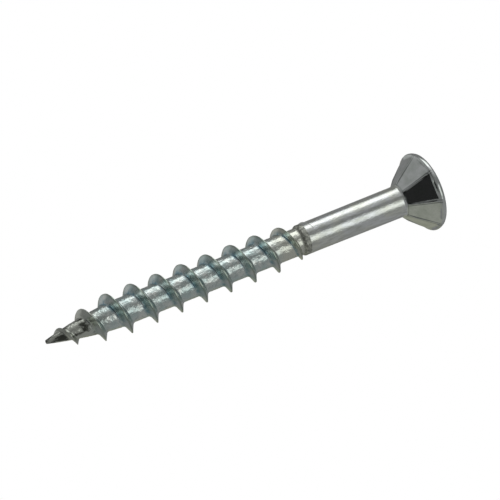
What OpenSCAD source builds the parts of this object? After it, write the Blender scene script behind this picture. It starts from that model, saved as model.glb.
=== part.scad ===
// Countersunk wood screw, partly threaded: one cold-headed and thread-rolled
// piece of steel wire, drawn as the regions that a fastener drawing names.
// The axis is Z. The head's flat face lies at z = 0 and the point is below it.

/* [Overall] */
// Length from the tip of the point to the head's flat face
screw_length = 50; // [40:0.1:70]
// Length from the tip of the point to the shoulder below the shank
shoulder_at = 32.3; // [24:0.1:40]

/* [Head] */
// Diameter of the round rim
head_d = 9.75; // [7.8:0.05:12]
// Height of the rim, a round disc over the faceted cone
rim_height = 0.4; // [0.2:0.05:0.8]
// Countersink angle across the whole cone
head_angle = 81; // [70:1:95]
// Number of flats, and of ribs between them
flat_count = 8; // [6:1:10]
// Distance of a flat from the axis, as a share of the cone's radius
flat_reach = 0.95; // [0.93:0.01:0.99]

/* [Ribs under the head] */
// Width of a rib
rib_w = 0.3; // [0.2:0.02:0.5]
// Height of a rib above the cone at its neck end
rib_h = 0.14; // [0.08:0.02:0.3]
// Gap between the end of a rib and the rim, along the radius
rib_gap = 0.4; // [0.2:0.1:1.2]

/* [Drive recess] */
// Span of two opposite wings at the mouth of the cross recess
recess_d = 4.9; // [4:0.1:6]
// Depth from the face to the end of the wings
recess_depth = 2.6; // [2:0.1:3.2]
// Width of a wing at the mouth
wing_w = 1.05; // [0.8:0.05:1.3]
// Draft of a wing's two sides, each
wing_draft = 1.8; // [0:0.2:4]
// Angle of a wing's outer end to the axis
wing_end_angle = 31; // [20:1:35]
// Diameter of the round middle of the recess at the mouth
recess_core_d = 2.5; // [2:0.1:3]
// Diameter of the round middle at the depth of the wings
recess_end_d = 1.4; // [1:0.1:1.6]

/* [Shank] */
// Shank diameter at the shoulder
shank_d = 3.74; // [3:0.02:4.6]
// Shank diameter at the neck, under the head
neck_d = 3.88; // [3.1:0.02:4.7]
// Radius of the fillet between the neck and the head
neck_fillet = 0.6; // [0.3:0.05:1]
// Length of the sloped shoulder between the core and the shank
shoulder_length = 0.45; // [0.3:0.05:1]

/* [Thread] */
// Outside diameter over the crests near the point
thread_d = 5.35; // [4.4:0.05:6.6]
// Outside diameter over the crests where the run-out starts
thread_end_d = 5.15; // [4.3:0.05:6.4]
// Diameter of the core at the thread's root
core_d = 3.25; // [2.6:0.05:3.9]
// Axial distance from crest to crest, which is also the lead
pitch = 3.19; // [2.6:0.01:3.9]
// Angle between the two flanks
flank_angle = 52; // [35:1:63]
// Width of the flat crest
crest_w = 0.1; // [0.06:0.02:0.3]
// Radius of the fillet at the foot of each flank
root_fillet = 0.4; // [0.15:0.05:0.5]
// Turns over which the crest sinks to the shank's surface
runout_turns = 1.6; // [1.2:0.1:2.5]
// How far the thread's tail runs on past the start of the shoulder
runout_past = 2; // [1.8:0.1:3]
// Turn of the whole thread about the axis
thread_turn = 346; // [0:1:360]

/* [Point] */
// Length of the tapered point
point_length = 8.7; // [7:0.1:11]
// Diameter of the blunt end of the tip
tip_d = 0.42; // [0.2:0.02:0.6]
// How far the side of the point bulges past a straight taper
point_bulge = 0.2; // [0.05:0.01:0.25]
// Distance from the tip to the start of the thread
entry_start = 0.5; // [0.5:0.1:1.5]
// Distance from the tip to where the thread reaches its full height
entry_full = 8.3; // [4:0.1:8.5]

/* [Hidden] */
$fn = 96;

steel = "silver";
rolled_steel = "lightsteelblue";

steps_per_turn = 40;  // rings of the thread's sweep in one turn
point_steps = 12;     // straight stretches in the point's outline
fillet_steps = 6;     // straight stretches in the neck's fillet
root_sink = 0.02;     // how deep the thread's foot sits inside the core
rib_sink = 0.12;      // how deep a rib's foot sits inside the cone
overcut = 0.1;        // how far a cutting tool passes the face that it opens
flat_drop = 0.02;     // height left on the thread where it starts from nothing

head_r = head_d / 2;
core_r = core_d / 2;
shank_r = shank_d / 2;
neck_r = neck_d / 2;
cone_half = head_angle / 2;
flat_half = atan(flat_reach * tan(cone_half));
flat_step = 360 / flat_count;

// Heights, as distances from the tip of the point
cone_top = screw_length - rim_height;
cone_apex = cone_top - head_r / tan(cone_half);
fillet_reach = neck_fillet * tan(cone_half / 2);
cone_foot = cone_apex + neck_r / tan(cone_half);
neck_bottom = cone_foot - fillet_reach;
head_bottom = cone_foot + fillet_reach * cos(cone_half);
head_bottom_r = neck_r + fillet_reach * sin(cone_half);
shank_bottom = shoulder_at + shoulder_length;
thread_end = shoulder_at + runout_past;
runout_start = thread_end - runout_turns * pitch;

// Thread sizes
thread_height = thread_d / 2 - core_r;
half_flank = flank_angle / 2;
fillet_foot = root_fillet * tan((90 - half_flank) / 2);

// Ring of the point's outline at distance s from the tip: a straight taper
// and a parabola that bulges in the middle and is flush at both ends
function point_r(s) =
    let (along = min(max(s / point_length, 0), 1))
    tip_d / 2 + (core_r - tip_d / 2) * along + 4 * point_bulge * along * (1 - along);

// Radius of the plain body under the thread at distance s from the tip
function body_r(s) =
    s < point_length ? point_r(s) :
    core_r + (shank_r - core_r) * min(max((s - shoulder_at) / shoulder_length, 0), 1);

// Radius of the full thread's crest, which tapers evenly towards the run-out
function full_crest_r(s) =
    let (along = min(max((s - entry_full) / (runout_start - entry_full), 0), 1))
    (thread_d + (thread_end_d - thread_d) * along) / 2;

// Shares of the way that the crest has risen on the point, and sunk in the run-out
function entry_share(s) = min(max((s - entry_start) / (entry_full - entry_start), 0), 1);
function runout_share(s) = min(max((s - runout_start) / (thread_end - runout_start), 0), 1);

// Radius of the crest at distance s from the tip, always just above the body
function crest_r(s) =
    let (
        risen = body_r(s) + entry_share(s) * (full_crest_r(s) - body_r(s)),
        sunk = risen - runout_share(s) * (risen - shank_r)
    )
    max(body_r(s) + flat_drop, sunk);

// Half of the thread's section from the crest to the foot, as distances along
// the axis and heights above the core. The fillet is two straight stretches,
// through the middle of its arc.
function half_section(height) =
    let (
        size = height / thread_height,
        crest = size * crest_w / 2,
        foot = crest + height * tan(half_flank),
        reach = size * fillet_foot,
        radius = size * root_fillet,
        arc = (90 + half_flank) / 2
    )
    [
        [crest, height],
        [foot - reach * sin(half_flank), reach * cos(half_flank)],
        [foot + reach - radius * cos(arc), radius * (1 - sin(arc))],
        [foot + reach, 0]
    ];

// One closed ring of the thread at distance s from the tip, in its own axial plane
function thread_ring(s) =
    let (
        top = crest_r(s),
        height = top - body_r(s),
        half = half_section(height),
        last = len(half) - 1,
        outline = concat(
            [for (i = [last:-1:0]) [-half[i][0], half[i][1]]],
            [for (i = [0:last]) half[i]]
        ),
        turn = thread_turn + 360 * s / pitch
    )
    [
        for (p = outline)
            let (
                along = s + p[0],
                foot = body_r(along),
                out = p[1] > 0 ? foot + (top - foot) * p[1] / height : foot - root_sink
            )
            [out * cos(turn), out * sin(turn), along]
    ];

// The thread from one distance to another, swept as rings joined by side faces
module thread_sweep(from, to) {
    count = ceil((to - from) / pitch * steps_per_turn);
    rings = [for (i = [0:count]) thread_ring(from + (to - from) * i / count)];
    size = len(rings[0]);
    sides = [
        for (i = [0:count - 1], k = [0:size - 1])
            [i * size + k, (i + 1) * size + k, (i + 1) * size + (k + 1) % size, i * size + (k + 1) % size]
    ];
    start_cap = [for (k = [0:size - 1]) k];
    end_cap = [for (k = [size - 1:-1:0]) count * size + k];
    polyhedron([for (ring = rings) each ring], concat(sides, [start_cap, end_cap]), convexity = 10);
}

// Places what is drawn with the tip at zero so that the head's face is at zero
module from_tip() {
    translate([0, 0, -screw_length]) children();
}

// A straight taper around the axis between two distances from the tip
module taper(from, to, r_from, r_to) {
    translate([0, 0, from]) cylinder(h = to - from, r1 = r_from, r2 = r_to);
}

// Everything outside one flat of the cone, as a block whose face is the flat
module outside_flat() {
    translate([0, 0, cone_apex])
        rotate([0, flat_half, 0])
            translate([0, -head_d, 0])
                cube([head_d, 2 * head_d, 3 * head_d]);
}

// One pair of opposite wings of the cross recess, as a blade tapered both ways
module wing_pair() {
    deep = recess_depth;
    top = overcut;
    top_x = recess_d / 2 + overcut * tan(wing_end_angle);
    low_x = recess_d / 2 - deep * tan(wing_end_angle);
    top_y = wing_w / 2 + overcut * tan(wing_draft);
    low_y = wing_w / 2 - deep * tan(wing_draft);
    corners = [[-1, -1], [1, -1], [1, 1], [-1, 1]];
    polyhedron(
        concat(
            [for (c = corners) [c[0] * low_x, c[1] * low_y, -deep]],
            [for (c = corners) [c[0] * top_x, c[1] * top_y, top]]
        ),
        [[0, 1, 2, 3], [7, 6, 5, 4], [0, 4, 5, 1], [1, 5, 6, 2], [2, 6, 7, 3], [3, 7, 4, 0]]
    );
}

// The whole cross recess: two blades and a round middle with a conical end
module cross_recess() {
    mouth_r = recess_core_d / 2 + overcut * (recess_core_d - recess_end_d) / 2 / recess_depth;
    for (turn = [0, 90]) rotate([0, 0, turn]) wing_pair();
    translate([0, 0, -recess_depth])
        cylinder(h = recess_depth + overcut, r1 = recess_end_d / 2, r2 = mouth_r);
    translate([0, 0, -recess_depth - recess_end_d / 4])
        cylinder(h = recess_end_d / 4, r1 = 0, r2 = recess_end_d / 2);
}

module head_rim() {
    color(steel) difference() {
        from_tip() taper(cone_top, screw_length, head_r, head_r);
        cross_recess();
    }
}

module faceted_cone() {
    color(steel) difference() {
        from_tip() taper(head_bottom, cone_top, head_bottom_r, head_r);
        from_tip() for (k = [0:flat_count - 1]) rotate([0, 0, k * flat_step - 90]) outside_flat();
        cross_recess();
    }
}

// A rib is a thin wedge on the cone, highest at the neck and gone before the rim
module rib() {
    low = head_bottom_r;
    high = head_r - rib_gap;
    function cone_at(r) = cone_apex + r / tan(cone_half);
    rotate([90, 0, 0]) linear_extrude(height = rib_w, center = true) polygon([
        [low - rib_sink * cos(cone_half), cone_at(low) + rib_sink * sin(cone_half)],
        [low, cone_at(low) - rib_h / cos(cone_half)],
        [low + rib_h * cos(cone_half), cone_at(low) - rib_h * sin(cone_half)],
        [high, cone_at(high)],
        [high - rib_sink * cos(cone_half), cone_at(high) + rib_sink * sin(cone_half)]
    ]);
}

module underhead_ribs() {
    color(steel) from_tip()
        for (k = [0:flat_count - 1]) rotate([0, 0, (k + 0.5) * flat_step - 90]) rib();
}

// The fillet is tangent to the shank's side below and to the cone above
module neck() {
    centre_r = neck_r + neck_fillet;
    color(steel) from_tip() rotate_extrude() polygon(concat(
        [[0, neck_bottom]],
        [
            for (i = [0:fillet_steps])
                let (a = cone_half * i / fillet_steps)
                [centre_r - neck_fillet * cos(a), neck_bottom + neck_fillet * sin(a)]
        ],
        [[0, neck_bottom + neck_fillet * sin(cone_half)]]
    ));
}

module shank() {
    color(steel) from_tip() taper(shank_bottom, neck_bottom, shank_r, neck_r);
}

module shoulder() {
    color(rolled_steel) from_tip() taper(shoulder_at, shank_bottom, core_r, shank_r);
}

module threaded_core() {
    color(rolled_steel) from_tip() taper(point_length, shoulder_at, core_r, core_r);
}

module thread() {
    color(rolled_steel) from_tip() thread_sweep(point_length, runout_start);
}

module thread_runout() {
    color(rolled_steel) from_tip() thread_sweep(runout_start, thread_end);
}

module point() {
    color(rolled_steel) from_tip() rotate_extrude() polygon(concat(
        [[0, 0]],
        [for (i = [0:point_steps]) let (s = point_length * i / point_steps) [point_r(s), s]],
        [[0, point_length]]
    ));
}

module point_thread() {
    color(rolled_steel) from_tip() thread_sweep(entry_start, point_length);
}

head_rim();
faceted_cone();
underhead_ribs();
neck();
shank();
shoulder();
threaded_core();
thread();
thread_runout();
point();
point_thread();
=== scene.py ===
# %% [markdown]
# # A countersunk wood screw in bright zinc plate
# This lesson dresses a wood screw that was designed in CAD. The real screw is one piece of steel
# wire. Its head is forged cold between dies, its thread and point are rolled, and the whole is
# plated with zinc. The CAD part gives every place and size, and the surfaces made here follow it
# closely.

# %% Load the frame
import math

import bpy
import numpy as np
from mathutils import Matrix, Vector


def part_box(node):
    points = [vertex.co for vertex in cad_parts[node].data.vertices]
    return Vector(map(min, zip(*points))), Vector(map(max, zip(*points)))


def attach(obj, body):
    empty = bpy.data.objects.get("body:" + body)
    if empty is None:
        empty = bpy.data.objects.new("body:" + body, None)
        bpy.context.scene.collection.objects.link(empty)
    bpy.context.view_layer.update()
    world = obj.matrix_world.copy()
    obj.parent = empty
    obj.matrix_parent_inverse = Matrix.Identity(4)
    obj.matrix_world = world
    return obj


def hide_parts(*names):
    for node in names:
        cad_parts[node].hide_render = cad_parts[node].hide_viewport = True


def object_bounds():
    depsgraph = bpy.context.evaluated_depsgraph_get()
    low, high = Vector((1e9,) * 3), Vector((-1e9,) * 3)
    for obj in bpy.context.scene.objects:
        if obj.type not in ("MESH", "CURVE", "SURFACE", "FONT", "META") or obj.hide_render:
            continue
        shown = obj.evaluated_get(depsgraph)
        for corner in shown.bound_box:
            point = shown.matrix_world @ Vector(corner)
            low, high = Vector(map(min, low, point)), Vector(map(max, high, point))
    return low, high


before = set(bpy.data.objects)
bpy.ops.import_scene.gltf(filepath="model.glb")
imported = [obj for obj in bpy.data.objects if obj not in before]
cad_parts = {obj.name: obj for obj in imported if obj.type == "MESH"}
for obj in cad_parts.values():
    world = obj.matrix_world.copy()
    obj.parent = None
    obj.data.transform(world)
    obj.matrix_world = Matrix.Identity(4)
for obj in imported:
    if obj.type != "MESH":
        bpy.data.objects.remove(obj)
cad_low, cad_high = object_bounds()
MM = 0.001
print("CAD box in mm:", [round(side / MM, 2) for side in (cad_high - cad_low)])

# %% [markdown]
# ## Sizes
# Lengths along the screw are measured in millimetres from the tip, as on the drawing, because the
# point, the thread and the shank all start from there. The frame gives the ends of each region. The
# thread's own section can't be read from a box, so its few sizes are repeated here by name.

# %% Sizes from the frame
rim_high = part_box("head_rim")[1]
cone_low, cone_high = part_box("faceted_cone")
shank_low, shank_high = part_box("shank")
core_low, core_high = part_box("threaded_core")

SCREW_LENGTH = (cad_high.z - cad_low.z) / MM


def from_tip(z):
    """Distance from the tip in mm of a height z in metres."""
    return (z - cad_low.z) / MM


HEAD_R = rim_high.x / MM
CONE_TOP = from_tip(cone_high.z)
CONE_BOTTOM = from_tip(cone_low.z)
SHANK_START = from_tip(shank_low.z)
SHANK_END = from_tip(shank_high.z)
CORE_R = core_high.x / MM
SHOULDER_AT = from_tip(core_high.z)
POINT_LENGTH = from_tip(core_low.z)
NECK_R = shank_high.x / MM
print(f"length {SCREW_LENGTH:.2f} mm")
print(f"radii in mm: head {HEAD_R:.3f}, core {CORE_R:.3f}, neck {NECK_R:.3f}")

# %% Sizes of the drawing, in mm
PITCH = 3.19
THREAD_TURN = math.radians(346)
THREAD_R = 5.35 / 2
THREAD_END_R = 5.15 / 2
HALF_FLANK = math.radians(26)
CREST_HALF = 0.05
ROOT_FILLET = 0.4
ENTRY_START, ENTRY_FULL = 0.5, 8.3
RUNOUT_TURNS, RUNOUT_PAST, TAIL_PAST = 1.6, 2.0, 0.4
SHANK_R = 3.74 / 2
TIP_R, POINT_BULGE = 0.21, 0.2
NECK_FILLET = 0.6
HEAD_HALF_ANGLE = math.radians(40.5)
FLAT_COUNT, FLAT_REACH = 8, 0.95
RIB_W, RIB_H, RIB_GAP = 0.3, 0.14, 0.4
RECESS_D, RECESS_DEPTH, WING_W = 4.9, 2.6, 1.05
WING_DRAFT, WING_END_ANGLE = math.radians(1.8), math.radians(31)
RECESS_CORE_R, RECESS_END_R = 1.25, 0.7

THREAD_END = SHOULDER_AT + RUNOUT_PAST
TAIL_END = THREAD_END + TAIL_PAST
RUNOUT_START = THREAD_END - RUNOUT_TURNS * PITCH
FULL_HEIGHT = THREAD_R - CORE_R
FLAT_STEP = 2 * math.pi / FLAT_COUNT
print(f"full thread from {ENTRY_FULL} to {RUNOUT_START:.2f} mm, fading out at {THREAD_END:.2f} mm")

# %% [markdown]
# ## The camera
# The screw is looked at from its point end, so the tip is nearest and the head is turned away. A
# long lens keeps the perspective gentle. The camera is placed from where it sees the tip, so no
# shift is needed.

# %% Camera
VIEW_TILT = math.radians(20.13)
VIEW_ROLL = math.radians(21.67)
TIP_SEEN = Vector((-22.66, -10.24, -206.6)) * MM
LENS_MM, SENSOR_MM = 134.2, 36.0


def camera_axes(tilt, roll):
    """Turns the frame's directions into the camera's, for a screw whose axis is tilted away by tilt
    and whose head rises by roll in the view. Seen unrolled, +Z runs right and away, and -X is
    up."""
    along = Vector((math.cos(tilt), 0, -math.sin(tilt)))
    across = Vector((0, -1, 0))
    depth = along.cross(across)
    turn = Matrix.Rotation(roll, 3, "Z")
    columns = [turn @ across, turn @ depth, turn @ along]
    return Matrix([[c[row] for c in columns] for row in range(3)])


from_camera = camera_axes(VIEW_TILT, VIEW_ROLL).transposed()
tip_point = Vector((0, 0, cad_low.z))
camera_data = bpy.data.cameras.new("long_lens")
camera_data.lens, camera_data.sensor_width = LENS_MM, SENSOR_MM
camera_data.clip_start, camera_data.clip_end = 0.01, 10.0
camera = bpy.data.objects.new("camera", camera_data)
camera_place = tip_point - from_camera @ TIP_SEEN
camera.matrix_world = Matrix.Translation(camera_place) @ from_camera.to_4x4()
bpy.context.collection.objects.link(camera)
scene = bpy.context.scene
scene.camera = camera
scene.view_settings.view_transform = "Standard"
print("camera at", [round(value, 4) for value in camera_place])

# %% [markdown]
# ## Colour and nodes
# Colours are written as the sRGB hex codes that a paint program shows, and one function turns them
# linear, which is what a shader multiplies. One small function adds a node with its settings and
# links.

# %% Helpers for colour and nodes


def linear(hex_code):
    """Linear RGBA of an sRGB hex colour: the piecewise sRGB curve undone for each channel."""
    channels = np.array([int(hex_code[i:i + 2], 16) for i in (1, 3, 5)]) / 255
    low, high = channels / 12.92, ((channels + 0.055) / 1.055) ** 2.4
    return (*np.where(channels <= 0.04045, low, high).tolist(), 1.0)


def node(tree, kind, inputs=(), **settings):
    """Adds one node. inputs pairs a socket's name or number with a value, or with the socket to
    link from."""
    made = tree.nodes.new(kind)
    for name, value in settings.items():
        setattr(made, name, value)
    for key, value in dict(inputs).items():
        if isinstance(value, bpy.types.NodeSocket):
            tree.links.new(value, made.inputs[key])
        else:
            made.inputs[key].default_value = value
    return made


# %% [markdown]
# ## The studio
# Polished metal shows the room more than itself, so the room is built from soft panels. Each one is
# placed by two angles: how far round the screw it stands, with 0 in front and 90 degrees above, and
# how far it leans towards the head's end. The brightest hangs above, the next stands in front, and
# a black one beyond the point is what the head's front flat mirrors. The backdrop is white for the
# camera alone, and a pale floor lies far below.

# %% Room of soft panels
ROOM_GREY = 0.24

world = bpy.data.worlds.new("studio")
world.use_nodes = True
scene.world = world
room = world.node_tree
room.nodes.clear()


def sums(tree, operation, *values):
    """One math node's result for values that are numbers or sockets."""
    return node(tree, "ShaderNodeMath", dict(enumerate(values)), operation=operation).outputs[0]


looking = node(room, "ShaderNodeTexCoord")
parts_of = node(room, "ShaderNodeSeparateXYZ", {0: looking.outputs["Generated"]})
upward, frontward = (sums(room, "MULTIPLY", parts_of.outputs[i], -1) for i in (0, 1))
round_angle = sums(room, "DEGREES", sums(room, "ARCTAN2", upward, frontward))
rise_angle = sums(room, "DEGREES", sums(room, "ARCSINE", parts_of.outputs[2]))


def window(angle, centre, half, soft):
    """1 within half degrees of the centre, easing to 0 over soft degrees more. Angles wrap at a
    half turn."""
    wrapped = sums(room, "WRAP", sums(room, "SUBTRACT", angle, centre), 180, -180)
    away = sums(room, "ABSOLUTE", wrapped)
    limits = {"Value": away, "From Min": half + soft, "From Max": half}
    return node(room, "ShaderNodeMapRange", limits, interpolation_type="SMOOTHSTEP").outputs[0]


def panel(below, place, half, soft, radiance, colour):
    """Lays one panel over the room so far. place, half and soft each hold the angle round and the
    rise."""
    around = window(round_angle, place[0], half[0], soft[0])
    along = window(rise_angle, place[1], half[1], soft[1])
    shape = sums(room, "MULTIPLY", around, along)
    glow = tuple(radiance * c for c in linear(colour)[:3]) + (1.0,)
    laid = node(room, "ShaderNodeMix", {0: shape, 6: below, 7: glow}, data_type="RGBA")
    return laid.outputs[2]


# Centre, half size and soft edge in degrees, each round the screw and towards the head. Then
# radiance and colour.
PANELS = {
    "upper back": ((146, -28), (20, 10), (18, 14), 0.48, "#FFFFFF"),
    "lower back": ((-150, 4), (30, 10), (20, 12), 0.36, "#F2F3DE"),
    "above the point": ((102, -36), (16, 14), (20, 12), 0.36, "#FFFFFF"),
    "below the point": ((-100, -36), (24, 14), (20, 12), 0.38, "#F2F3E6"),
    "wide above": ((66, 24), (20, 26), (24, 14), 0.48, "#FFFFFF"),
    "bright above": ((79, 26), (13, 20), (12, 10), 1.25, "#FFFFFF"),
    "below": ((-86, 20), (34, 30), (14, 12), 0.31, "#FFFFFF"),
    "in front": ((-18, 24), (13, 16), (13, 12), 0.90, "#FBFDFA"),
    "black": ((18, -57), (38, 12), (14, 8), 0.022, "#FFFFFF"),
}
light_seen = (ROOM_GREY, ROOM_GREY, ROOM_GREY, 1.0)
for settings in PANELS.values():
    light_seen = panel(light_seen, *settings)

grey_room = node(room, "ShaderNodeBackground", {"Color": light_seen})
white_backdrop = node(room, "ShaderNodeBackground", {"Color": (1, 1, 1, 1)})
seen_by = node(room, "ShaderNodeLightPath")
for_camera = seen_by.outputs["Is Camera Ray"]
choices = {0: for_camera, 1: grey_room.outputs[0], 2: white_backdrop.outputs[0]}
backdrop = node(room, "ShaderNodeMixShader", choices)
node(room, "ShaderNodeOutputWorld", {"Surface": backdrop.outputs[0]})
print("panels:", ", ".join(PANELS))

# %% [markdown]
# Two soft boxes stand inside the bright panels and give them a crisper heart.

# %% Soft boxes and floor
STUDIO_REACH = 0.6
middle = (cad_low + cad_high) / 2


def soft_box(name, angle, rise, width_deg, length_deg, radiance):
    """A rectangular light at the two angles that spans the given angles, with its long side along
    the screw. An area light's power is its radiance times pi times its area."""
    turn, lean = math.radians(angle), math.radians(rise)
    level = math.cos(lean)
    direction = Vector((-math.sin(turn) * level, -math.cos(turn) * level, math.sin(lean)))
    spans = (math.radians(width_deg), math.radians(length_deg))
    width, length = (2 * STUDIO_REACH * math.tan(span / 2) for span in spans)
    light = bpy.data.lights.new(name, "AREA")
    light.shape, light.size, light.size_y = "RECTANGLE", width, length
    light.energy = radiance * math.pi * width * length
    placed = bpy.data.objects.new(name, light)
    placed.visible_camera = False
    placed.rotation_mode = "QUATERNION"
    placed.rotation_quaternion = direction.to_track_quat("Z", "Y")
    placed.location = middle + direction * STUDIO_REACH
    bpy.context.collection.objects.link(placed)
    return placed


top_box = soft_box("top_box", 79, 26, width_deg=20, length_deg=42, radiance=0.35)
front_box = soft_box("front_box", -16, 24, width_deg=18, length_deg=34, radiance=0.25)

FLOOR_HALF, FLOOR_DROP, FLOOR_GLOW = 4.0, 0.55, "#FCFCFC"
floor_corners = [(x * FLOOR_HALF, y * FLOOR_HALF) for x, y in ((-1, -1), (1, -1), (1, 1), (-1, 1))]
floor_mesh = bpy.data.meshes.new("floor")
floor_mesh.from_pydata([(x, y, -FLOOR_DROP) for x, y in floor_corners], [], [(0, 1, 2, 3)])
floor_paint = bpy.data.materials.new("pale_floor")
floor_paint.use_nodes = True
floor_paint.node_tree.nodes.clear()
floor_glow = node(floor_paint.node_tree, "ShaderNodeEmission", {"Color": linear(FLOOR_GLOW)})
node(floor_paint.node_tree, "ShaderNodeOutputMaterial", {"Surface": floor_glow.outputs[0]})
floor_mesh.materials.append(floor_paint)
floor = bpy.data.objects.new("floor", floor_mesh)
floor.visible_glossy = False
floor.visible_diffuse = False
bpy.context.collection.objects.link(floor)
print("lights:", top_box.name, front_box.name)

# %% [markdown]
# ## From arrays to a mesh
# Each piece is a grid of points: rows run along the screw and columns run round it. One function
# turns the rows into a mesh. Each piece begins and ends with a ring that has shrunk to a point on
# the axis, so it is closed.

# %% Grid to mesh
MERGE_DIGITS = 9
SHARP_ANGLE = math.radians(40)


def ring_points(radius, angle, height):
    """Points in metres at polar places in mm: x and y from radius and angle, z from the height
    above the tip."""
    radius, angle, height = np.broadcast_arrays(radius, angle, height)
    x, y = radius * np.cos(angle), radius * np.sin(angle)
    return np.stack([x, y, height - SCREW_LENGTH], axis=-1) * MM


def mesh_piece(name, points, faces, material, slot, nodes, **marks):
    """Makes a piece from an array of points and an array of four-cornered faces. Points that
    coincide are merged and faces that have shrunk to nothing are dropped. It rides on the one body
    and replaces nodes. Each mark is a function of angle and height, and its values are kept on the
    mesh for the finish to read."""
    rounded = np.round(points.reshape(-1, 3), MERGE_DIGITS)
    unique, where = np.unique(rounded, axis=0, return_inverse=True)
    corners = where.reshape(-1)[faces]
    after = np.roll(corners, -1, axis=1)
    kept = corners != after
    counts = kept.sum(axis=1)
    whole = counts >= 3
    corners, kept, counts = corners[whole], kept[whole], counts[whole]
    loops = corners[kept]
    starts = np.concatenate([[0], np.cumsum(counts)[:-1]])
    mesh = bpy.data.meshes.new(name)
    mesh.vertices.add(len(unique))
    mesh.vertices.foreach_set("co", unique.ravel())
    mesh.loops.add(len(loops))
    mesh.loops.foreach_set("vertex_index", loops.astype(np.int32))
    mesh.polygons.add(len(starts))
    mesh.polygons.foreach_set("loop_start", starts.astype(np.int32))
    mesh.update(calc_edges=True)
    mesh.validate()
    mesh.polygons.foreach_set("use_smooth", np.ones(len(mesh.polygons), dtype=bool))
    mesh.set_sharp_from_angle(angle=SHARP_ANGLE)
    angle, height = np.arctan2(unique[:, 1], unique[:, 0]), unique[:, 2] / MM + SCREW_LENGTH
    for mark_name, rule in marks.items():
        attribute = mesh.attributes.new(mark_name, "FLOAT", "POINT")
        attribute.data.foreach_set("value", rule(angle, height).astype(np.float32))
    mesh.materials.append(material)
    piece = bpy.data.objects.new(name, mesh)
    bpy.context.collection.objects.link(piece)
    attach(piece, "root")
    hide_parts(*nodes)
    print(f"{name}: {len(unique)} points, {len(starts)} faces")


def ring_faces(rows, columns, shift=0):
    """Faces between rows of a closed ring of columns, outward when rows rise and columns turn left.
    The last column joins the first one shift rows further on, which is how a helical grid
    closes."""
    row, column = np.meshgrid(np.arange(rows - 1), np.arange(columns), indexing="ij")
    past = column == columns - 1
    right = np.where(past, 0, column + 1)
    step = np.where(past, shift, 0)
    valid = row + 1 + step < rows
    a = row * columns + column
    b = (row + step) * columns + right
    c = (row + 1 + step) * columns + right
    d = (row + 1) * columns + column
    return np.stack([a, b, c, d], axis=-1)[valid]


# %% [markdown]
# ## Rolled waviness
# Rolling leaves the core between the flights slightly rippled, and the ripples break up its
# highlights. They are a sum of waves that run round and along the screw, with directions drawn once
# from a fixed seed.

# %% Waves on a cylinder


def ripple(angle, height, seed, count, turns, waves, size):
    """Sum of count cosines. Each has a whole number of waves round the screw, from the range turns,
    a number of radians per mm along it, from the range waves, and a random phase. Its root mean
    square is size."""
    draw = np.random.default_rng(seed)
    total = np.zeros(np.broadcast(angle, height).shape)
    for _ in range(count):
        round_waves = draw.integers(turns[0], turns[1] + 1) * draw.choice([-1, 1])
        along_waves = draw.uniform(*waves)
        total += np.cos(round_waves * angle + along_waves * height + draw.uniform(0, 2 * math.pi))
    return total * size * math.sqrt(2 / count)


# %% [markdown]
# ## The zinc finishes
# Bright zinc plate is a thin layer of metal, so all three finishes are fully metallic, and differ
# in what lies under the zinc. Drawn wire is smooth with fine scratches. Forged flats are the
# smoothest, pressed by polished dies, and painted shade darkens the feet of their ribs and the
# neck.
# Rolled thread is duller and dented. Its passivation shows blue in the roots, green on the crests
# and yellow near the shank. The roots are also darkened as a painted reflection, the point carries
# dark blots painted as reflections, and the shoulder is stained.

# %% Finishes


def start_finish(name):
    """A new material with only an output, a metallic shader and its object coordinates in
    millimetres."""
    material = bpy.data.materials.new(name)
    material.use_nodes = True
    tree = material.node_tree
    tree.nodes.clear()
    shader = node(tree, "ShaderNodeBsdfPrincipled", {"Metallic": 1.0})
    node(tree, "ShaderNodeOutputMaterial", {"Surface": shader.outputs[0]})
    place = node(tree, "ShaderNodeTexCoord")
    inputs = {"Vector": place.outputs["Object"], "Scale": (1 / MM, 1 / MM, 1 / MM)}
    in_mm = node(tree, "ShaderNodeMapping", inputs)
    return material, tree, shader, in_mm.outputs[0]


def patches(tree, place, size_mm, detail, low, high, stretch=(1, 1, 1)):
    """Smooth noise with patches of about size_mm, stretched by axis, spread from 0 at low to 1 at
    high."""
    scale = [1 / (size_mm * s) for s in stretch]
    scaled = node(tree, "ShaderNodeMapping", {"Vector": place, "Scale": scale}).outputs[0]
    inputs = {"Vector": scaled, "Scale": 1.0, "Detail": detail}
    noise = node(tree, "ShaderNodeTexNoise", inputs).outputs["Fac"]
    limits = {"Value": noise, "From Min": low, "From Max": high}
    return node(tree, "ShaderNodeMapRange", limits).outputs[0]


def times(tree, first, second):
    """The product of two numbers or sockets."""
    return sums(tree, "MULTIPLY", first, second)


def tinted(tree, base, factor, colour):
    """The base, a hex code or a socket, turned towards a colour by a factor."""
    start = linear(base) if isinstance(base, str) else base
    mix = node(tree, "ShaderNodeMix", {0: factor, 6: start, 7: linear(colour)}, data_type="RGBA")
    return mix.outputs[2]


def finish_roughness(tree, shader, wear, least, most):
    """Roughness from least where wear is 0 to most where it is 1."""
    dull = node(tree, "ShaderNodeMapRange", {"Value": wear, "To Min": least, "To Max": most})
    tree.links.new(dull.outputs[0], shader.inputs["Roughness"])


def finish_bump(tree, shader, height, distance_mm, strength=1.0):
    """Raises the surface by a height times a real distance."""
    inputs = {"Height": height, "Distance": distance_mm * MM, "Strength": strength}
    bump = node(tree, "ShaderNodeBump", inputs)
    tree.links.new(bump.outputs[0], shader.inputs["Normal"])


def by_height(tree, place, centre, half, soft):
    """1 within half mm of a distance from the tip, easing to 0 over soft mm more."""
    height = node(tree, "ShaderNodeSeparateXYZ", {0: place}).outputs[2]
    away = sums(tree, "ABSOLUTE", sums(tree, "SUBTRACT", height, centre - SCREW_LENGTH))
    limits = {"Value": away, "From Min": half + soft, "From Max": half}
    return node(tree, "ShaderNodeMapRange", limits).outputs[0]


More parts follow.
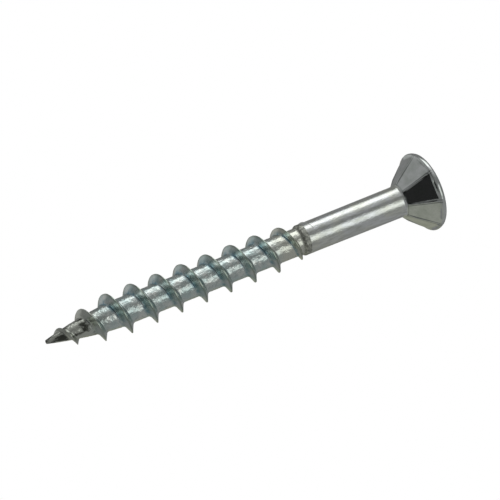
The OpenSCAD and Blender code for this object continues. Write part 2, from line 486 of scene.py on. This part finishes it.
def mark(tree, name):
    """A value of 0 to 1 that the mesh holds at each point under this name."""
    return node(tree, "ShaderNodeAttribute", attribute_name=name).outputs["Fac"]


# %% Zinc on drawn wire
drawn, tree, shader, place = start_finish("zinc_plate_on_drawn_wire")
worn = patches(tree, place, 0.35, detail=4, low=0.42, high=0.68, stretch=(1, 1, 4))
yellowed = patches(tree, place, 3.0, detail=2, low=0.42, high=0.6)
scratched = patches(tree, place, 0.12, detail=4, low=0.3, high=0.7, stretch=(1, 1, 3))
base = tinted(tree, "#DDE1E2", yellowed, "#DCDFD5")
base = tinted(tree, base, worn, "#C6CAC4")
tree.links.new(base, shader.inputs["Base Color"])
finish_roughness(tree, shader, worn, least=0.13, most=0.2)
finish_bump(tree, shader, scratched, distance_mm=0.007)
print(drawn.name, "has", len(tree.nodes), "nodes")

# %% Zinc on forged flats
# Painted shade: the base is darkened along both feet of every rib and round the neck, creases that
# lie in shade.
RIB_FOOT_SHADE = 0.75

forged, tree, shader, place = start_finish("zinc_plate_on_forged_head")
worn = patches(tree, place, 1.2, detail=3, low=0.4, high=0.65)
uneven = patches(tree, place, 0.7, detail=3, low=0.3, high=0.7)
base = tinted(tree, "#D8DCDB", worn, "#C6CCC8")
base = tinted(tree, base, times(tree, mark(tree, "rib_foot"), RIB_FOOT_SHADE), "#5E6460")
tree.links.new(base, shader.inputs["Base Color"])
finish_roughness(tree, shader, worn, least=0.09, most=0.15)
finish_bump(tree, shader, uneven, distance_mm=0.02, strength=0.5)
print(forged.name, "has", len(tree.nodes), "nodes")

# %% [markdown]
# The rolled thread is tinted in turn by place: the core, the stretch next to the shank, the roots,
# the crests, the point and the shoulder. Each place is a band of distances from the tip or a mark
# on the mesh.

# %% Zinc on rolled thread
FILM_AND_SHADE_LEAST, FILM_DULL, SPECK_DULL = 0.4, 0.4, 0.4
CREST_TINT, DENT_DEPTH, POINT_CALM = 0.7, 2.2, 0.6

# The middle, half width and soft edge of each stretch, in mm.
NEAR_SHANK = (SHOULDER_AT - 0.8, 1.6, 2.0)
ON_POINT = (2.0, 2.6, 2.8)
STAINED_SHOULDER = (SHOULDER_AT + 0.6, 0.4, 0.4)
DULL_SHOULDER = (SHOULDER_AT + 0.5, 0.4, 0.2)

rolled, tree, shader, place = start_finish("zinc_plate_on_rolled_thread")
core, root, crest = (mark(tree, name) for name in ("core", "root", "crest"))
blued = patches(tree, place, 1.2, detail=2, low=0.35, high=0.6)
speck = patches(tree, place, 0.35, detail=4, low=0.5, high=0.62)
cloud = patches(tree, place, 0.6, detail=2, low=0.42, high=0.6)
film_and_shade = sums(tree, "MULTIPLY_ADD", cloud, 1 - FILM_AND_SHADE_LEAST, FILM_AND_SHADE_LEAST)
reflection_blot = patches(tree, place, 0.6, detail=3, low=0.47, high=0.58, stretch=(1, 1, 2.2))
fleck = patches(tree, place, 0.3, detail=3, low=0.3, high=0.62)
point = by_height(tree, place, *ON_POINT)

base = tinted(tree, "#D9DEDA", blued, "#C0D1CF")
base = tinted(tree, base, times(tree, core, speck), "#BBC6C4")
base = tinted(tree, base, by_height(tree, place, *NEAR_SHANK), "#D4D7CC")
# The roots on the point's side are tinted blue by passivation and darkened as a painted dark
# reflection in the fillets.
base = tinted(tree, base, times(tree, root, film_and_shade), "#7095A4")
base = tinted(tree, base, times(tree, crest, CREST_TINT), "#7E8A78")
base = tinted(tree, base, point, "#C2C6BD")
# Painted reflection: dark blots on the point's core stand for the dark room mirrored in its dents.
base = tinted(tree, base, times(tree, point, times(tree, reflection_blot, core)), "#4E504A")
shoulder_stain = times(tree, by_height(tree, place, *STAINED_SHOULDER), fleck)
base = tinted(tree, base, shoulder_stain, "#8B8D86")
tree.links.new(base, shader.inputs["Base Color"])

dull_shoulder = by_height(tree, place, *DULL_SHOULDER)
dull = sums(tree, "MAXIMUM", times(tree, speck, SPECK_DULL), dull_shoulder)
dull = sums(tree, "MAXIMUM", dull, times(tree, root, FILM_DULL))
finish_roughness(tree, shader, dull, least=0.18, most=0.5)

grain = patches(tree, place, 0.14, detail=3, low=0.3, high=0.7, stretch=(2, 2, 1))
dent = patches(tree, place, 0.5, detail=2, low=0.35, high=0.65, stretch=(1, 1, 1.4))
uneven = sums(tree, "ADD", grain, times(tree, dent, DENT_DEPTH))
smoother_point = sums(tree, "SUBTRACT", 1.0, times(tree, point, POINT_CALM))
rough_core = times(tree, uneven, times(tree, core, smoother_point))
finish_bump(tree, shader, rough_core, distance_mm=0.012)
print(rolled.name, "has", len(tree.nodes), "nodes")

# %% [markdown]
# ## The rolled thread
# The thread, its core and the point are one surface. Its radius is worked out from two numbers: the
# angle round the screw and the distance from the tip, which is called s. The columns are straight
# along the screw, but the rows climb with the helix, so that they run along the crest and the roots
# and both stay sharp.

# %% Radius of the plain body and of the crest


def body_radius(s):
    """Radius under the thread: a taper with a parabolic bulge on the point, then the core, then the
    shoulder, which is an S-shaped cubic from the core's radius to the shank's."""
    along = np.clip(s / POINT_LENGTH, 0, 1)
    point_or_core = TIP_R + (CORE_R - TIP_R) * along + 4 * POINT_BULGE * along * (1 - along)
    step = np.clip((s - SHOULDER_AT) / (SHANK_START - SHOULDER_AT), 0, 1)
    return point_or_core + (SHANK_R - CORE_R) * step * step * (3 - 2 * step)


def crest_radius(s):
    """Radius of the crest: it rises evenly from the body on the point, then tapers slightly along
    the thread, and sinks evenly to the shank in the run-out."""
    taper = np.clip((s - ENTRY_FULL) / (RUNOUT_START - ENTRY_FULL), 0, 1)
    full = THREAD_R + (THREAD_END_R - THREAD_R) * taper
    risen = np.clip((s - ENTRY_START) / (ENTRY_FULL - ENTRY_START), 0, 1)
    sunk = np.clip((s - RUNOUT_START) / (THREAD_END - RUNOUT_START), 0, 1)
    height = body_radius(s) + risen * (full - body_radius(s))
    return height - sunk * (height - SHANK_R)


FILLET_REACH = ROOT_FILLET * math.tan((math.pi / 2 - HALF_FLANK) / 2)
FLANK_FOOT = CREST_HALF + FULL_HEIGHT * math.tan(HALF_FLANK)
FILLET_END = FLANK_FOOT + FILLET_REACH


def section_height(x):
    """Height of the full section at a distance x from the middle of the crest: a flat crest, a
    straight flank, and an arc that is tangent to the flank and to the core."""
    flank = FULL_HEIGHT - (x - CREST_HALF) / math.tan(HALF_FLANK)
    inside = np.clip(ROOT_FILLET**2 - (FILLET_END - x) ** 2, 0, None)
    arc = ROOT_FILLET - np.sqrt(inside)
    lower = np.where(x < FLANK_FOOT - FILLET_REACH * math.sin(HALF_FLANK), flank, arc)
    return np.where(x < CREST_HALF, FULL_HEIGHT, np.where(x > FILLET_END, 0, lower))


# %% Radius of the whole rolled surface
THINNEST_MM = 1e-4
CORE_EDGE, CREST_EDGE, ROOT_SPREAD = 0.2, 0.08, 1.3
RIPPLE_SEED, RIPPLE_COUNT, RIPPLE_SIZE = 11, 20, 0.0045
RIPPLE_ROUND, RIPPLE_ALONG = (2, 12), (-18, 18)
RIPPLE_IN, RIPPLE_OUT = 3.0, 1.5


def across_thread(angle, s):
    """Distance along the axis from the nearest crest, and the thread's size there as a share of the
    full one."""
    turn_offset = s - (angle - THREAD_TURN) / (2 * math.pi) * PITCH
    aside = turn_offset - PITCH * np.round(turn_offset / PITCH)
    height = crest_radius(s - aside) - body_radius(s - aside)
    return aside, np.clip(height, THINNEST_MM, None) / FULL_HEIGHT


def root_film_and_shade_share(angle, s):
    """1 at the foot of the flank on the point's side, easing to 0 on the core and up the flank. It
    fades where the thread is less than half its full height."""
    aside, size = across_thread(angle, s)
    away = np.abs(-aside / size - FLANK_FOOT) / (FILLET_REACH * ROOT_SPREAD)
    return np.clip(1 - away, 0, 1) * np.clip(size * 2, 0, 1)


def core_share(angle, s):
    """1 on the bare core, easing to 0 at the foot of the flanks."""
    aside, size = across_thread(angle, s)
    return np.clip((np.abs(aside) - FLANK_FOOT * size) / CORE_EDGE, 0, 1)


def crest_share(angle, s):
    """1 on the crest, easing to 0 a little way down either flank. It fades like the root's
    share."""
    aside, size = across_thread(angle, s)
    away = (np.abs(aside) / size - CREST_HALF) / CREST_EDGE
    return np.clip(1 - away, 0, 1) * np.clip(size * 2, 0, 1)


def rolled_radius(angle, s):
    """Body radius plus the section, which shrinks in both directions where the crest is lower, plus
    ripples, which grow from the tip on and die out before the end of the thread's tail."""
    aside, size = across_thread(angle, s)
    section = size * section_height(np.abs(aside) / size)
    wavy = ripple(angle, s, RIPPLE_SEED, RIPPLE_COUNT, RIPPLE_ROUND, RIPPLE_ALONG, RIPPLE_SIZE)
    calm = np.clip(s / RIPPLE_IN, 0, 1) * np.clip((TAIL_END - s) / RIPPLE_OUT, 0, 1)
    return body_radius(s) + section + wavy * calm


# %% The rolled piece
COLUMNS = 120
TIP_ROUND = 0.08
TIP_ROWS, CORE_ROWS = 6, 8
ROLLED_PAST = 0.5
ROLLED_END = SHANK_START + ROLLED_PAST
SPARE_TURNS_BELOW, SPARE_TURNS = 2, 3

# Rows in mm from the middle of the crest: close together at its edge, then down the flank, then
# over the core.
crest_rows = [0, 0.03, 0.045, 0.06, 0.09]
flank_rows = [0.16, 0.23, 0.3, 0.37, 0.44, 0.5, 0.56, 0.62, 0.68, 0.74, 0.8]
core_rows = np.linspace(flank_rows[-1], PITCH / 2, CORE_ROWS + 1)[1:]
half_rows = np.concatenate([crest_rows, flank_rows, core_rows])
pitch_rows = np.concatenate([half_rows, PITCH - half_rows[::-1][1:-1]])
ROWS_A_TURN = len(pitch_rows)

turns = math.ceil(TAIL_END / PITCH) + SPARE_TURNS
row_heights = (np.arange(turns)[:, None] * PITCH + pitch_rows).ravel() - SPARE_TURNS_BELOW * PITCH
angles = np.arange(COLUMNS) * 2 * math.pi / COLUMNS
sheared = row_heights[:, None] + (angles[None, :] - THREAD_TURN) / (2 * math.pi) * PITCH


def screwed_grid(start, end):
    """Points and faces of the rolled surface between two heights. Rows beyond either end lie
    against it."""
    heights = np.clip(sheared, start, end)
    points = ring_points(rolled_radius(angles[None, :], heights), angles[None, :], heights)
    return points.reshape(-1, 3), ring_faces(len(row_heights), COLUMNS, ROWS_A_TURN)


def add_rings(points, faces, radius, height, upward=True):
    """Adds rings to a grid, with a radius for each row and column. Rows that fall are turned to
    face outward."""
    more = ring_faces(len(radius), COLUMNS) + len(points)
    rings = ring_points(radius, angles[None, :], height).reshape(-1, 3)
    more = more if upward else more[:, ::-1]
    return np.concatenate([points, rings]), np.concatenate([faces, more])


def ring_at(height):
    """Radii of the rolled surface at one height, as a row."""
    return rolled_radius(angles, np.full(COLUMNS, height))[None, :]


def disc(height):
    """Radii and heights of a flat cap: the rolled surface's ring at that height, and the axis."""
    return np.array([[1.0], [0.0]]) * ring_at(height), np.full((2, 1), height)


round_step = np.linspace(0, math.pi / 2, TIP_ROWS)[:, None]
tip_radius = ring_at(TIP_ROUND) * np.cos(round_step)
tip_height = TIP_ROUND * (1 - np.sin(round_step))
points, faces = screwed_grid(TIP_ROUND, ROLLED_END)
points, faces = add_rings(points, faces, tip_radius, tip_height, False)
points, faces = add_rings(points, faces, *disc(ROLLED_END))
mesh_piece("rolled_thread_and_point", points, faces, rolled, "rolled_zinc",
           ["point", "point_thread", "threaded_core", "thread", "shoulder"],
           root=root_film_and_shade_share, crest=crest_share, core=core_share)

# %% [markdown]
# ## The shank and neck
# The shank is drawn wire, a hair thicker at the head, where forging has swollen it. The thread's
# tail runs out over its first two millimetres, so the piece starts with the same rolled surface. It
# then goes straight on to a small fillet that leads into the cone.

# %% Shank piece
STRAIGHT_ROWS, NECK_ROWS = 50, 10

neck_arc = np.linspace(0, HEAD_HALF_ANGLE, NECK_ROWS)[:, None]
straight_h = np.linspace(TAIL_END, SHANK_END, STRAIGHT_ROWS)[:, None]
straight_r = SHANK_R + (NECK_R - SHANK_R) * (straight_h - TAIL_END) / (SHANK_END - TAIL_END)
arc_r = NECK_R + NECK_FILLET * (1 - np.cos(neck_arc))
arc_h = SHANK_END + NECK_FILLET * np.sin(neck_arc)
profile_r = np.concatenate([straight_r, arc_r[1:], [[0]]]) * np.ones((1, COLUMNS))
profile_h = np.concatenate([straight_h, arc_h[1:], arc_h[-1:]])
points, faces = screwed_grid(ROLLED_END, TAIL_END)
points, faces = add_rings(points, faces, *disc(ROLLED_END), False)
points, faces = add_rings(points, faces, profile_r, profile_h)
mesh_piece("drawn_shank", points, faces, drawn, "smooth_zinc", ["shank", "neck", "thread_runout"])

# %% [markdown]
# ## The head
# The underside is a cone that the die has pressed into eight flats. Between the flats stand narrow
# ribs, which cut the countersink as the screw goes in. Beyond the flats the metal swells out to a
# round rim, so that each flat ends in a small crescent, and the rim rounds over into the face. The
# recess is a tapered cross.

# %% Columns that follow the ribs
# Columns in mm from a rib's middle line: close together where its foot meets the flat.
BESIDE_RIB = np.array([0.0, 0.03, 0.06, 0.09, 0.115, 0.135, 0.148, 0.155, 0.18, 0.25, 0.4])
AWAY_FROM_RIB = 10
WIDEST_SINE = 0.9
NECK_STEP = 0.015
RIB_FADE, RIB_START = 0.6, 0.7
# Width in mm of the painted shade beside the ribs, and its strength round the neck.
SHADE_EDGE, NECK_SHADE = 0.1, 0.7
HEAD_COLUMNS = FLAT_COUNT * 2 * (len(BESIDE_RIB) - 1 + AWAY_FROM_RIB)


def rib_angles(radius):
    """Angles of every column for a ring of this radius. Columns near a rib stay a fixed distance
    from its middle line, and the rest share what is left of the sector evenly."""
    near = np.arcsin(np.clip(BESIDE_RIB / radius, 0, WIDEST_SINE))
    far = np.linspace(near[-1], FLAT_STEP / 2, AWAY_FROM_RIB + 1)[1:]
    half = np.concatenate([near, far])
    sector = np.concatenate([-half[::-1][:-1], half[:-1]])
    middles = (np.arange(FLAT_COUNT) + 0.5) * FLAT_STEP
    return (middles[:, None] + sector[None, :]).ravel()


def cone_radius(height):
    """Radius of the plain cone: a straight line up to the head's radius at the cone's top."""
    return HEAD_R + (height - CONE_TOP) * math.tan(HEAD_HALF_ANGLE)


def angle_from_rib(angle):
    """Angle from the nearest rib's middle line, below 0 where the angle is less than the rib's."""
    return np.mod(angle, FLAT_STEP) - FLAT_STEP / 2


def cone_ring(height):
    """Radius and angle round the faceted cone at a height: the cone, cut back to the flats, plus
    the ribs. A rib rises from the neck, sinks to nothing before the rim, and across its width it
    is as high as the root of a raised cosine."""
    cone = cone_radius(height)
    angle = rib_angles(cone)
    from_rib = angle_from_rib(angle)
    leave_neck = np.clip((height - CONE_BOTTOM) / NECK_STEP, 0, 1)
    reach = 1 - (1 - FLAT_REACH) * leave_neck
    flat = np.minimum(1, reach / np.cos(FLAT_STEP / 2 - np.abs(from_rib)))
    fade = np.clip((HEAD_R - RIB_GAP - cone) / (HEAD_R - RIB_GAP - NECK_R), 0, 1) ** RIB_FADE
    start = np.clip((height - CONE_BOTTOM) / RIB_START, 0, 1)
    rise = RIB_H * fade * start / math.cos(HEAD_HALF_ANGLE)
    aside = np.abs(np.sin(from_rib)) * cone
    bump = 0.5 + 0.5 * np.cos(math.pi * np.clip(aside / (RIB_W / 2), 0, 1))
    return cone * flat + rise * np.sqrt(bump), angle


def rib_foot_share(angle, s):
    """1 along both feet of every rib, easing to 0 in a tenth of a millimetre, and less than 1 round
    the neck. These creases are darkened as painted shade."""
    aside = np.abs(np.sin(angle_from_rib(angle))) * cone_radius(s)
    beside = np.clip(1 - np.abs(aside - RIB_W / 2) / SHADE_EDGE, 0, 1) * (s < CONE_TOP)
    return np.maximum(beside, NECK_SHADE * (s < CONE_BOTTOM + SHADE_EDGE)) * (s > CONE_BOTTOM)


# %% Outline of the recess
END_COLUMNS, ARC_COLUMNS = 10, 20
SIDE_COLUMNS = (HEAD_COLUMNS // 4 - 2 * END_COLUMNS - ARC_COLUMNS) // 2
LEAST_CORE = 1.1


def steps(start, end, count):
    """An even number line of count values from start up to, but without, end."""
    return np.linspace(start, end, count, endpoint=False)


def pairs(x, y):
    """Points in a plane from their x and y, each one number or an array."""
    return np.stack(np.broadcast_arrays(x, y), axis=1)


def turned(plane, angle):
    """Points in a plane turned to the left by an angle."""
    cosine, sine = math.cos(angle), math.sin(angle)
    return plane @ np.array([[cosine, sine], [-sine, cosine]])


def outline_of_recess(depth):
    """Points round the cross at a depth: for each quarter, half a wing's end, its side, the round
    middle's arc, the next wing's side and half its end. All corners fall on a column."""
    length = RECESS_D / 2 - depth * math.tan(WING_END_ANGLE)
    half = WING_W / 2 - depth * math.tan(WING_DRAFT)
    core = RECESS_CORE_R + (RECESS_END_R - RECESS_CORE_R) * depth / RECESS_DEPTH
    core = max(core, half * LEAST_CORE)
    meet, first = math.sqrt(core**2 - half**2), math.asin(half / core)
    arc_angle = steps(first, math.pi / 2 - first, ARC_COLUMNS)
    quarter = np.concatenate([
        pairs(length, steps(0, half, END_COLUMNS)),
        pairs(steps(length, meet, SIDE_COLUMNS), half),
        core * pairs(np.cos(arc_angle), np.sin(arc_angle)),
        pairs(half, steps(meet, length, SIDE_COLUMNS)),
        pairs(steps(half, 0, END_COLUMNS), length),
    ])
    return np.concatenate([turned(quarter, quarters * math.pi / 2) for quarters in range(4)])


# %% Head piece
CONE_ROWS, LAND_ROWS, RECESS_ROWS = 22, 15, 12
LAND_START, LAND_FIRST = CONE_TOP - 0.3, 0.12
LAND_FOOT, LAND_BULGE, LAND_OVER = 0.6, 0.4, 0.13
FACE_ROWS = (0.35, 0.7, 1.0)
MOUTH_EDGE, MOUTH_ROUND = 0.05, 0.3


def land_radius(across):
    """Radius of the rim at a share of its height: a quarter sine wave out to the head's radius,
    then a parabola back in, where the rim rounds over."""
    foot = HEAD_R - (CONE_TOP - LAND_START) * math.tan(HEAD_HALF_ANGLE) * LAND_FOOT
    swell = foot + (HEAD_R - foot) * math.sin(math.pi / 2 * min(across / LAND_BULGE, 1))
    return swell - LAND_OVER * (max(across - LAND_BULGE, 0) / (1 - LAND_BULGE)) ** 2


def recess_row(plane, depth):
    """A row of points in metres at a depth below the face, from places in the plane in mm."""
    return np.concatenate([plane, np.full((len(plane), 1), -depth)], axis=1) * MM


rows = [ring_points(0.0, rib_angles(NECK_R), CONE_BOTTOM)]
for height in [CONE_BOTTOM, *np.linspace(CONE_BOTTOM + NECK_STEP, LAND_START, CONE_ROWS)]:
    radius, angle = cone_ring(height)
    rows.append(ring_points(radius, angle, height))
for across in np.linspace(LAND_FIRST, 1, LAND_ROWS):
    height = LAND_START + (SCREW_LENGTH - LAND_START) * across
    rows.append(ring_points(land_radius(across), rib_angles(HEAD_R), height))

rim_ring = rows[-1][:, :2] / MM
mouth = outline_of_recess(0.0)
mouth_out = mouth * (1 + MOUTH_EDGE / np.linalg.norm(mouth, axis=1, keepdims=True))
for part in FACE_ROWS:
    rows.append(recess_row(rim_ring + (mouth_out - rim_ring) * part, 0.0))
rows.append(recess_row(mouth + (mouth_out - mouth) * MOUTH_ROUND, MOUTH_ROUND * MOUTH_EDGE))
for depth in np.linspace(MOUTH_EDGE, RECESS_DEPTH, RECESS_ROWS):
    rows.append(recess_row(outline_of_recess(depth), depth))
bottom = outline_of_recess(RECESS_DEPTH)
for size in (0.5, 0.0):
    rows.append(recess_row(bottom * size, RECESS_DEPTH + (1 - size) * RECESS_END_R / 2))

faces = ring_faces(len(rows), HEAD_COLUMNS)
mesh_piece("forged_head", np.stack(rows), faces, forged, "smooth_zinc",
           ["head_rim", "faceted_cone", "underhead_ribs"], rib_foot=rib_foot_share)
